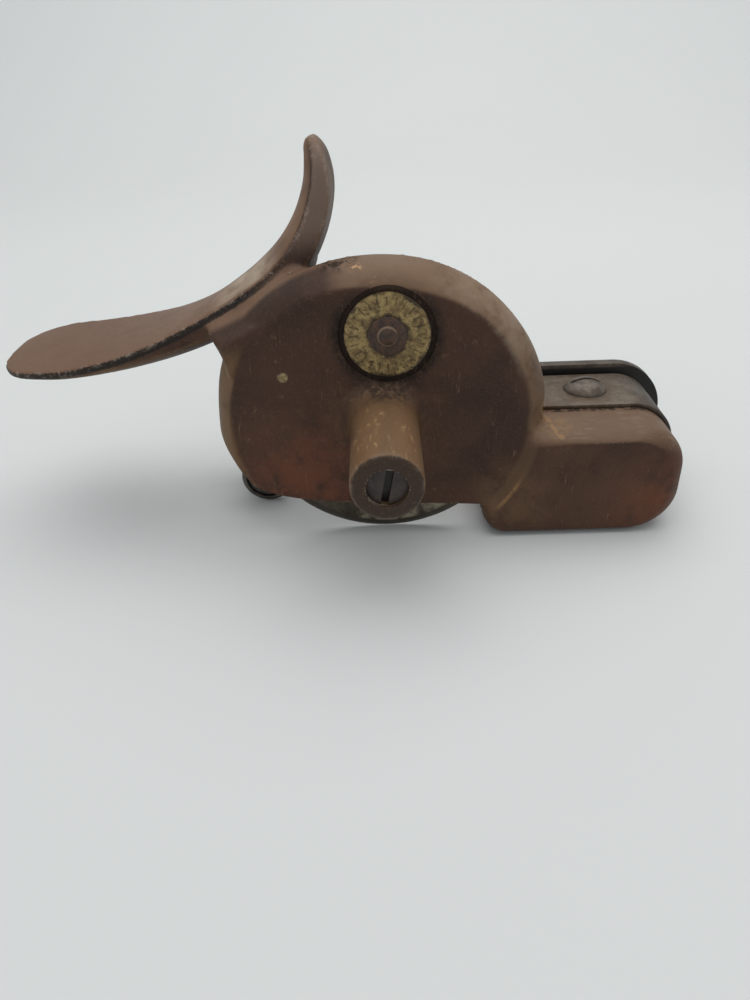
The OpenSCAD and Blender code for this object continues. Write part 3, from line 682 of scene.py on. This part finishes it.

# Rim of the guard and its step to the shoe: painted light, a lighter tan where light from above falls on the
# rolled band and on the step.
rim_light_tan = (0.190, 0.115, 0.064, 1)
valley_tan = (0.150, 0.082, 0.038, 1)
streak_grey = (0.300, 0.225, 0.160, 1)
not_neck = either(tree, along(tree, where, "X", -16, -6), along(tree, where, "Z", 60, 52))
rim = both(tree, along(tree, where, "Y", 0.1, 0.9), ramp(tree, drum_r, 37 * MM, 38.5 * MM), not_neck,
           along(tree, where, "Z", 20, 34), ramp(tree, blotch, 0.1, 0.55))
colour = tint(tree, colour, rim_light_tan, rim, 0.65)
lit_step_band = both(tree, band(tree, drum_r, 42.2 * MM, 44.2 * MM, 1.6 * MM), along(tree, where, "X", 29, 33),
                 along(tree, where, "Y", 1.5, -0.5))
colour = tint(tree, colour, rim_light_tan, lit_step_band, 0.3)
valley = both(tree, near(tree, where, spot(38, -2, 13), 5, 17), ramp(tree, blotch, 0.30, 0.60))
colour = tint(tree, colour, valley_tan, valley, 0.5)
streaked = both(tree, near(tree, where, spot(31, 3, 70), 6, 24), ramp(tree, drum_r, 38.5 * MM, 40 * MM),
                ramp(tree, blotch, 0.35, 0.65))
colour = tint(tree, colour, streak_grey, streaked, 0.55)

# Palm rest: hand-worn and painted as lit above its edge, with a painted sheen; painted shade just under the
# edge, and painted floor light on the underside's edge.
palm_brown = (0.120, 0.058, 0.034, 1)
palm_sheen_highlight = (0.400, 0.315, 0.235, 1)
horn_lit_gold = (0.250, 0.135, 0.070, 1)
horn_pale = (0.190, 0.136, 0.106, 1)
under_bounce_tan = (0.200, 0.115, 0.062, 1)
ridge_bare = (0.40, 0.33, 0.27, 1)
# Black for real dirt and specks, and also for painted shade under edges, in inside corners and on the back
# plate.
black_dirt_and_shade = (0.010, 0.0075, 0.006, 1)
palm = along(tree, where, "X", -55, -85)
colour = tint(tree, colour, palm_brown, palm, worn_and_lit, 0.55)
# Painted highlight: a pale sheen on the palm rest above its near edge.
shine = both(tree, near(tree, where, spot(-37, 20, 75), 4, 15), ramp(tree, above, 0.2, 2.0),
             ramp(tree, blotch, 0.2, 0.6))
colour = tint(tree, colour, palm_sheen_highlight, shine, 0.85)
high = along(tree, where, "Z", 80, 92)
# Painted light: the horn's upper side above its edge is painted golden, as lit from above and the left.
lit_horn_side = both(tree, ramp(tree, above, 0.4, 2.0), high, ramp(tree, blotch, 0.1, 0.6),
              along(tree, where, "Y", 40, 33))
colour = tint(tree, colour, horn_lit_gold, lit_horn_side, 0.7)
horn_front = both(tree, ramp(tree, above, 0.6, -0.4), high, along(tree, where, "Y", 25, 19))
colour = tint(tree, colour, horn_pale, horn_front, 0.75)
# Painted floor light: the underside's rounded edge is painted lighter, as lit by light bouncing off the
# table.
bounce_line = ramp(tree, maths(tree, "ADD", under, both(tree, fleck, 1.2)), 1.7, 0.8)
colour = tint(tree, colour, under_bounce_tan, bounce_line, ramp(tree, above, -1.8, -3.0), 0.4)
# Painted shade: a black band just under the palm rest's near edge.
shaky = maths(tree, "ADD", above, swing(tree, fleck, 1.4))
shade_line = both(tree, band(tree, shaky, -1.9, -0.3, 0.4), along(tree, where, "Z", 84, 72),
                 along(tree, where, "Y", 32, 26))
colour = tint(tree, colour, black_dirt_and_shade, shade_line, 0.9)
ridge = both(tree, band(tree, above, -0.8, 0.4, 0.6), ramp(tree, fleck, 0.50, 0.62),
             ramp(tree, grain, 0.46, 0.62), along(tree, where, "Z", 66, 76))
colour = tint(tree, colour, ridge_bare, ridge, 0.5)

# Shoe: its front has kept more colour, its top less; the top also carries the painted light of the upward
# faces.
top_brown = (0.105, 0.060, 0.036, 1)
brushed_tan = (0.235, 0.160, 0.105, 1)
front_red = (0.090, 0.042, 0.023, 1)
on_shoe = along(tree, where, "X", 38, 50)
colour = tint(tree, colour, top_brown, on_shoe, worn_and_lit, 0.6)
brushed = streaks(tree, where, (0.25, 1, 1), 700.0, 5.0, 0.7)
colour = tint(tree, colour, brushed_tan, on_shoe, worn_and_lit, ramp(tree, brushed, 0.50, 0.66), 0.45)
warm = both(tree, near(tree, where, spot(52, -3, 17), 8, 32), ramp(tree, up_part, 0.6, 0.2), on_shoe,
            ramp(tree, blotch, 0.2, 0.6))
colour = tint(tree, colour, front_red, warm, 0.6)

# Boss: rubbed to a tan brown, with ochre run down from the badge and a dark ring face.
boss_tan = (0.175, 0.100, 0.048, 1)
fillet_light_tan = (0.130, 0.066, 0.032, 1)
run_ochre = (0.42, 0.28, 0.13, 1)
ring_dark = (0.036, 0.021, 0.013, 1)
on_boss = both(tree, along(tree, where, "Y", 0, -8), ramp(tree, drum_r, 14 * MM, 10 * MM))
colour = tint(tree, colour, boss_tan, on_boss, ramp(tree, blotch, 0.15, 0.55), 0.85)
# Painted light: a lighter tan round the boss's root, for light falling on its flaring fillet.
fillet_light = both(tree, ramp(tree, drum_r, 23 * MM, 10 * MM), ramp(tree, blotch, 0.35, 0.65),
            ramp(tree, badge_r, 15 * MM, 21 * MM))
colour = tint(tree, colour, fillet_light_tan, fillet_light, 0.5)
run_down = streaks(tree, where, (1, 0.3, 1), 420.0, 6.0, 0.65, 0.8)
runs = both(tree, ramp(tree, run_down, 0.55, 0.66), ramp(tree, up_part, 0.1, 0.8),
            ramp(tree, blotch, 0.40, 0.60), ramp(tree, drum_r, 17 * MM, 12 * MM),
            along(tree, where, "Y", 1, -3))
colour = tint(tree, colour, run_ochre, runs, 0.8)
ring_face = along(tree, where, "Y", boss_end + 1.0, boss_end + 0.4)
colour = tint(tree, colour, ring_dark, ring_face, 0.95)

# Ochre dirt in the corner beside the shoe, and painted light, a lighter tan, along the guard's left edge.
ochre = (0.330, 0.180, 0.070, 1)
left_light_tan = (0.165, 0.092, 0.042, 1)
crease = from_axis(tree, where, 54.5, 41)
crease_dirt = both(tree, near(tree, where, spot(48.5, 3, 35.5), 5, 9),
                   band(tree, crease, 8.7 * MM, 9.0 * MM, 0.6 * MM), 0.75)
step_dirt = both(tree, near(tree, where, spot(36.5, 0, 15), 3, 8),
                 band(tree, drum_r, 44.2 * MM, 44.7 * MM, 0.5 * MM), 0.6)
haze = both(tree, near(tree, where, spot(50, 5, 33), 2, 11), ramp(tree, fleck, 0.40, 0.62), 0.4)
corner = both(tree, either(tree, crease_dirt, step_dirt), ramp(tree, fleck, 0.36, 0.56))
colour = tint(tree, colour, ochre, either(tree, corner, haze), 0.9)
lit_left_rim = both(tree, ramp(tree, drum_r, 43 * MM, 45 * MM), along(tree, where, "X", -30, -42),
                ramp(tree, blotch, 0.2, 0.6), along(tree, where, "Y", 14, 10),
                along(tree, where, "Z", 66, 57), along(tree, where, "X", -56, -50))
colour = tint(tree, colour, left_light_tan, lit_left_rim, 0.75)

# Black dirt round the badge, at the horn's root and behind the shoe; dirt and painted shade in the badge's
# recess, a darker patch down to the boss, and painted shade in the inside corners.
not_above = maths(tree, "SUBTRACT", 1.0, both(tree, along(tree, where, "Z", 70, 78), 0.75))
halo = both(tree, ramp(tree, badge_r, 17.0 * MM, BADGE_R * MM), ramp(tree, fleck, 0.25, 0.55), not_above)
dark_patch = both(tree, near(tree, where, spot(1, 0, AXIS_H + 11), 3, 12), ramp(tree, fleck, 0.3, 0.6))
recess_dirt_and_shade = both(tree, ramp(tree, badge_r, 13.6 * MM, 13.3 * MM), 0.8)
root = both(tree, near(tree, where, spot(-11.5, 9, 83.5), 3, 7), ramp(tree, fleck, 0.42, 0.58))
crumbs = both(tree, band(tree, ahead, spot(0, 14.3, 0).y, spot(0, 16, 0).y, 0.8 * MM),
              ramp(tree, fleck, 0.40, 0.55), along(tree, where, "X", 44, 47), ramp(tree, up_part, 0.2, 0.6))
# Painted shade: inside corners, found by their low pointiness, are darkened.
hollow_shade = both(tree, ramp(tree, edge_out, 0.485, 0.43), 0.7)
dirt_and_shade = either(tree, halo, dark_patch, recess_dirt_and_shade, root, crumbs, hollow_shade)
colour = tint(tree, colour, black_dirt_and_shade, dirt_and_shade, 0.85)

# Bare metal on the edges, hair scratches, two chips by the horn, casting pits and pale flecks.
chalk = (0.52, 0.45, 0.38, 1)
scratch_tan = (0.25, 0.17, 0.11, 1)
chip = (0.62, 0.36, 0.17, 1)
grain_tan = (0.19, 0.12, 0.075, 1)
fleck_tan = (0.21, 0.13, 0.075, 1)
rubbed = both(tree, ramp(tree, badge_r, 14.2 * MM, 15.5 * MM), ramp(tree, edge_out, 0.520, 0.57),
              ramp(tree, fleck, 0.46, 0.62), ramp(tree, grain, 0.35, 0.6))
colour = tint(tree, colour, chalk, rubbed, 0.5)
scratch = either(tree, hairlines(tree, where, 24, 420.0, 0.005), hairlines(tree, where, -58, 360.0, 0.005))
colour = tint(tree, colour, scratch_tan, scratch, 0.32)
chips = either(tree, near(tree, where, spot(-7, 4, 83.5), 1.0, 3.6),
               near(tree, where, spot(-2, 1.5, 79.5), 0.5, 1.6))
colour = tint(tree, colour, chip, chips, ramp(tree, fleck, 0.54, 0.58))
cells = put(tree, "ShaderNodeTexVoronoi", {"Vector": where, "Scale": 300.0, "Randomness": 1.0})
pit_zone = either(tree, both(tree, ramp(tree, clouds, 0.60, 0.70), ramp(tree, up_part, 0.5, 0.1)),
                  near(tree, where, spot(-11.5, 9, 84), 3, 7))
pit = both(tree, ramp(tree, cells.outputs["Distance"], 0.13, 0.06), pit_zone)
colour = tint(tree, colour, black_dirt_and_shade, pit, 0.8)
colour = tint(tree, colour, grain_tan, ramp(tree, grain, 0.56, 0.74), 0.40)
colour = tint(tree, colour, fleck_tan, ramp(tree, fleck, 0.58, 0.70), ramp(tree, clouds, 0.35, 0.6), 0.28)
tree.links.new(colour, shader.inputs["Base Color"])
shader.inputs["Specular IOR Level"].default_value = 0.25
gloss = maths(tree, "SUBTRACT", maths(tree, "ADD", 0.56, both(tree, dirt_and_shade, 0.3)), both(tree, worn_and_lit, 0.06))
gloss = maths(tree, "ADD", gloss, swing(tree, fleck, 0.25))
relief = maths(tree, "ADD", both(tree, fleck, 0.40), both(tree, grain, 0.16))
relief = maths(tree, "ADD", relief, both(tree, blotch, 0.25))
relief = maths(tree, "SUBTRACT", relief, maths(tree, "ADD", both(tree, pit, 0.7), both(tree, scratch, 0.10)))
surface(tree, shader, gloss, relief, 0.5, 0.00035)
guard.data.materials.clear()
guard.data.materials.append(material)
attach(guard, "casting")
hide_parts("frame")

# ---------------------------------------------------------------------------------------------
# Inside the boss. Two bronze bushes, a steel pad with a hard ball, a coil spring and its seat.
# They are turned and pressed in or slid in from the open end; the plug closes them in. The spring
# stands on the casting at one end and on its seat at the other, so it shortens as the seat moves.
# ---------------------------------------------------------------------------------------------


def metal(name, pale, dark, scale, rough, metallic):
    """Stained metal with blotches, specks of dirt and a fine grain. Scale counts blotches in a metre."""
    material, tree, shader = new_material(name)
    where = put(tree, "ShaderNodeTexCoord").outputs["Object"]
    stain = noise(tree, where, scale, 6.0, 0.65, 0.4)
    speck = noise(tree, where, scale * 6, 5.0, 0.7, 0.3)
    colour = mixed(tree, ramp(tree, stain, 0.36, 0.64), dark, pale)
    colour = tint(tree, colour, black_dirt_and_shade, ramp(tree, speck, 0.55, 0.68), 0.55)
    tree.links.new(colour, shader.inputs["Base Color"])
    shader.inputs["Metallic"].default_value = metallic
    gloss = maths(tree, "ADD", rough - 0.12, both(tree, speck, 0.28))
    relief = maths(tree, "ADD", both(tree, stain, 0.5), both(tree, speck, 0.5))
    surface(tree, shader, gloss, relief, 0.35, 0.0002)
    return material, tree, shader, where, colour


def finish_nodes(material, *names):
    """Gives CAD nodes a material in every slot."""
    for name in names:
        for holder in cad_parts[name].material_slots:
            holder.material = material


def dress(piece, material):
    """Smooth shading with keen edges kept, and one material."""
    piece.data.shade_smooth()
    piece.data.set_sharp_from_angle(angle=math.radians(34))
    piece.data.materials.clear()
    piece.data.materials.append(material)


bearing_bronze = metal("bearing_bronze", (0.55, 0.36, 0.15, 1), (0.26, 0.15, 0.06, 1), 160.0, 0.34, 1.0)[0]
oiled_steel = metal("oiled_steel", (0.46, 0.45, 0.42, 1), (0.22, 0.20, 0.17, 1), 200.0, 0.34, 1.0)[0]
ball_steel = metal("ball_steel", (0.68, 0.68, 0.68, 1), (0.56, 0.56, 0.56, 1), 120.0, 0.16, 1.0)[0]
coil_steel = metal("coil_steel", (0.30, 0.27, 0.23, 1), (0.14, 0.11, 0.09, 1), 240.0, 0.42, 1.0)[0]
finish_nodes(bearing_bronze, "outer_bush", "inner_bush", "roller_bush")
finish_nodes(oiled_steel, "thrust_pad", "spring_seat", "drive_pin")
finish_nodes(ball_steel, "thrust_ball")
bm = bmesh.new()
bm.from_mesh(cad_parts["pressure_spring"].data)
coil = solid("pressure_spring_coil", bm)
dress(coil, coil_steel)
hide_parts("pressure_spring")
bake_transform(coil)

# ---------------------------------------------------------------------------------------------
# Pressure plug. A slotted steel plug, screwed into the boss to load the spring.
# Its face is dark with oil and dirt, and the slot is painted black from half a millimetre down.
# ---------------------------------------------------------------------------------------------


def softened(node, body, material, width, sharp=32):
    """Copy of a node's mesh with its edges broken where they are sharper than an angle, in its place."""
    bm = bmesh.new()
    bm.from_mesh(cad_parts[node].data)
    bmesh.ops.remove_doubles(bm, verts=bm.verts, dist=0.002 * MM)
    bmesh.ops.dissolve_limit(bm, angle_limit=math.radians(1), verts=bm.verts, edges=bm.edges)
    keen = [e for e in bm.edges if len(e.link_faces) == 2 and e.calc_face_angle(0) > math.radians(sharp)]
    bmesh.ops.bevel(bm, geom=keen, offset=width * MM, segments=2, profile=0.5, affect="EDGES", material=-1,
                    clamp_overlap=True)
    bmesh.ops.remove_doubles(bm, verts=bm.verts, dist=0.001 * MM)
    bmesh.ops.triangulate(bm, faces=[f for f in bm.faces if len(f.verts) > 4])
    piece = solid(node + "_worn", bm)
    dress(piece, material)
    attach(piece, body)
    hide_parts(node)


material, tree, shader, where, colour = metal(
    "plug_steel", (0.042, 0.026, 0.018, 1), (0.018, 0.011, 0.008, 1), 300.0, 0.50, 0.0)
plug_y = reach("pressure_screw")[0].y           # the plug's open face
in_slot = along(tree, where, "Y", plug_y + 0.5, plug_y + 1.1)
tree.links.new(tint(tree, colour, black_dirt_and_shade, in_slot, 0.9), shader.inputs["Base Color"])
softened("pressure_screw", "plug", material, 0.4)

# ---------------------------------------------------------------------------------------------
# Badge. A thin round brass plate in a shallow recess, with a rusty collar and a rivet through it.
# Plain tick marks are pressed round it; the brass has gone olive, with black spots.
# ---------------------------------------------------------------------------------------------

spot_black = (0.050, 0.035, 0.018, 1)
stain_black = (0.036, 0.022, 0.012, 1)
pressed_black = (0.025, 0.017, 0.010, 1)
rubbed_rust = (0.30, 0.20, 0.12, 1)
material, tree, shader, where, colour = metal(
    "badge_brass", (0.36, 0.260, 0.105, 1), (0.150, 0.095, 0.038, 1), 420.0, 0.50, 0.35)
ragged = maths(tree, "ADD", from_axis(tree, where, *BADGE),
               swing(tree, noise(tree, where, 260.0, 6.0, 0.7, 0.8), 7 * MM))
spots = ramp(tree, noise(tree, where, 700.0, 5.0, 0.75, 0.5), 0.52, 0.62)
colour = tint(tree, colour, spot_black, spots, 0.75)
stain = either(tree, ramp(tree, ragged, 10.8 * MM, 11.8 * MM), ramp(tree, ragged, 6.8 * MM, 5.0 * MM))
colour = tint(tree, colour, stain_black, stain, 0.9)
pressed = along(tree, where, "Y", -0.17, -0.05)
tree.links.new(tint(tree, colour, pressed_black, pressed, 0.28), shader.inputs["Base Color"])
softened("badge_plate", "casting", material, 0.1)

material, tree, shader, where, colour = metal(
    "rust_trim", (0.085, 0.040, 0.022, 1), (0.032, 0.018, 0.012, 1), 420.0, 0.60, 0.0)
rivet_rim = both(tree, band(tree, from_axis(tree, where, *BADGE), 2.45 * MM, 2.70 * MM, 0.20 * MM),
                 ramp(tree, noise(tree, where, 240.0), 0.30, 0.50))
tree.links.new(tint(tree, colour, rubbed_rust, rivet_rim, 0.5), shader.inputs["Base Color"])
softened("badge_collar", "casting", material, 0.2)
softened("badge_rivet", "casting", material, 0.45)

# ---------------------------------------------------------------------------------------------
# Steady pin. A short brass pin, driven through the guard's face and filed flush.
# It has gone dull and spotted, as the badge has.
# ---------------------------------------------------------------------------------------------

pin_brass = metal("pin_brass", (0.34, 0.26, 0.12, 1), (0.16, 0.105, 0.05, 1), 900.0, 0.55, 0.3)[0]
softened("steady_pin", "casting", pin_brass, 0.15)

# ---------------------------------------------------------------------------------------------
# Spindle and disc knife. The knife is a ground steel disc, pinned to the spindle's collar and
# held by a washer and a nut. Its bevel is dark, and its flat sides are stained cream and green,
# with black oil over one half.
# ---------------------------------------------------------------------------------------------

cream = (0.42, 0.38, 0.27, 1)
oil_black = (0.040, 0.026, 0.018, 1)
bevel_reflection_dark = (0.045, 0.034, 0.026, 1)
material, tree, shader, where, colour = metal(
    "knife_steel", (0.19, 0.155, 0.105, 1), (0.060, 0.045, 0.030, 1), 260.0, 0.42, 0.5)
from_spindle = from_axis(tree, where, 0, AXIS_H)
clouded = both(tree, ramp(tree, noise(tree, where, 180.0, 7.0, 0.7, 0.6), 0.42, 0.60),
               ramp(tree, from_spindle, 37.5 * MM, 36 * MM))
colour = tint(tree, colour, cream, clouded, 0.7)
wander = swing(tree, noise(tree, where, 90.0, 6.0, 0.7, 0.6), 60 * MM)
across = maths(tree, "ADD", part_of(tree, where, "X"), wander)
colour = tint(tree, colour, oil_black, ramp(tree, across, spot(1, 0, 0).x, spot(-13, 0, 0).x), 0.8)
# Painted reflection: the bevel is darkened as if it mirrored the shaded table.
on_bevel = ramp(tree, from_spindle, 36.8 * MM, 37.4 * MM)
tree.links.new(tint(tree, colour, bevel_reflection_dark, on_bevel, 0.8), shader.inputs["Base Color"])
softened("disc_knife", "cutter", material, 0.05, sharp=60)
black_steel = metal("black_steel", (0.10, 0.080, 0.062, 1), (0.038, 0.029, 0.023, 1), 260.0, 0.46, 0.5)[0]
softened("knife_washer", "cutter", black_steel, 0.2)
softened("knife_nut", "cutter", black_steel, 0.35)
softened("spindle", "cutter", oiled_steel, 0.25)

# ---------------------------------------------------------------------------------------------
# Back plate. A flat steel plate over the back of the shoe and the neck, on two dowels and held
# by three screws; dark all over, with painted shade, black, low down where it faces the shoe.
# ---------------------------------------------------------------------------------------------

material, tree, shader, where, colour = metal(
    "plate_steel", (0.105, 0.078, 0.058, 1), (0.046, 0.032, 0.023, 1), 130.0, 0.50, 0.3)
# Painted shade: the plate's face toward the shoe is blackened below its top lip.
shaded = both(tree, along(tree, where, "Y", plate_y + 0.5, plate_y + 0.2),
              along(tree, where, "Z", 36.6, 35.6))
tree.links.new(tint(tree, colour, black_dirt_and_shade, shaded), shader.inputs["Base Color"])
softened("back_plate", "casting", material, 0.4)
softened("plate_screws", "casting", black_steel, 0.3)
softened("plate_dowels", "casting", oiled_steel, 0.2)

# ---------------------------------------------------------------------------------------------
# Nose strap and its screw. A spring steel strap lies on the shoe and bends down over the nose,
# under one slotted round-head screw. Brown dirt lies round the screw and beside the guard, and the
# bend is dark.
# ---------------------------------------------------------------------------------------------

strap_dirt = (0.092, 0.052, 0.024, 1)
bend_dark = (0.030, 0.022, 0.016, 1)
screw_dark = (0.045, 0.030, 0.020, 1)
material, tree, shader, where, colour = metal(
    "strap_steel", (0.145, 0.112, 0.082, 1), (0.085, 0.060, 0.041, 1), 170.0, 0.46, 0.4)
screw_low, screw_high = reach("strap_screw")
screw = (screw_low + screw_high) / 2
brown_dirt = either(tree, near(tree, where, spot(screw.x, screw.y, SHOE_H), 8, 14),
                    along(tree, where, "X", 57, 49))
brown_dirt = both(tree, brown_dirt, ramp(tree, noise(tree, where, 420.0, 6.0, 0.7, 0.5), 0.34, 0.60))
colour = tint(tree, colour, strap_dirt, brown_dirt, 0.85)
colour = tint(tree, colour, bend_dark, along(tree, where, "X", 76, 86), 0.65)
tree.links.new(colour, shader.inputs["Base Color"])
softened("nose_strap", "casting", material, 0.3)
material, tree, shader, where, colour = metal(
    "screw_steel", (0.155, 0.125, 0.100, 1), (0.080, 0.061, 0.046, 1), 300.0, 0.50, 0.4)
low_part = along(tree, where, "Z", screw_high.z - 2.6, screw_high.z - 3.5)
tree.links.new(tint(tree, colour, screw_dark, low_part, 0.85), shader.inputs["Base Color"])
softened("strap_screw", "casting", material, 0.2, sharp=50)

# ---------------------------------------------------------------------------------------------
# Rear roller. A grooved steel roller on a bronze bush, on an axle through the lug and the plate,
# with a washer and a nut behind.
# ---------------------------------------------------------------------------------------------

roller_steel = metal("roller_steel", (0.115, 0.10, 0.085, 1), (0.050, 0.042, 0.034, 1), 240.0, 0.40, 0.6)[0]
bare_steel = metal("bare_steel", (0.30, 0.27, 0.23, 1), (0.13, 0.11, 0.09, 1), 260.0, 0.42, 0.7)[0]
softened("rear_roller", "roller", roller_steel, 0.35)
softened("roller_axle", "casting", black_steel, 0.35)
softened("axle_washer", "casting", bare_steel, 0.2)
softened("axle_nut", "casting", black_steel, 0.3)
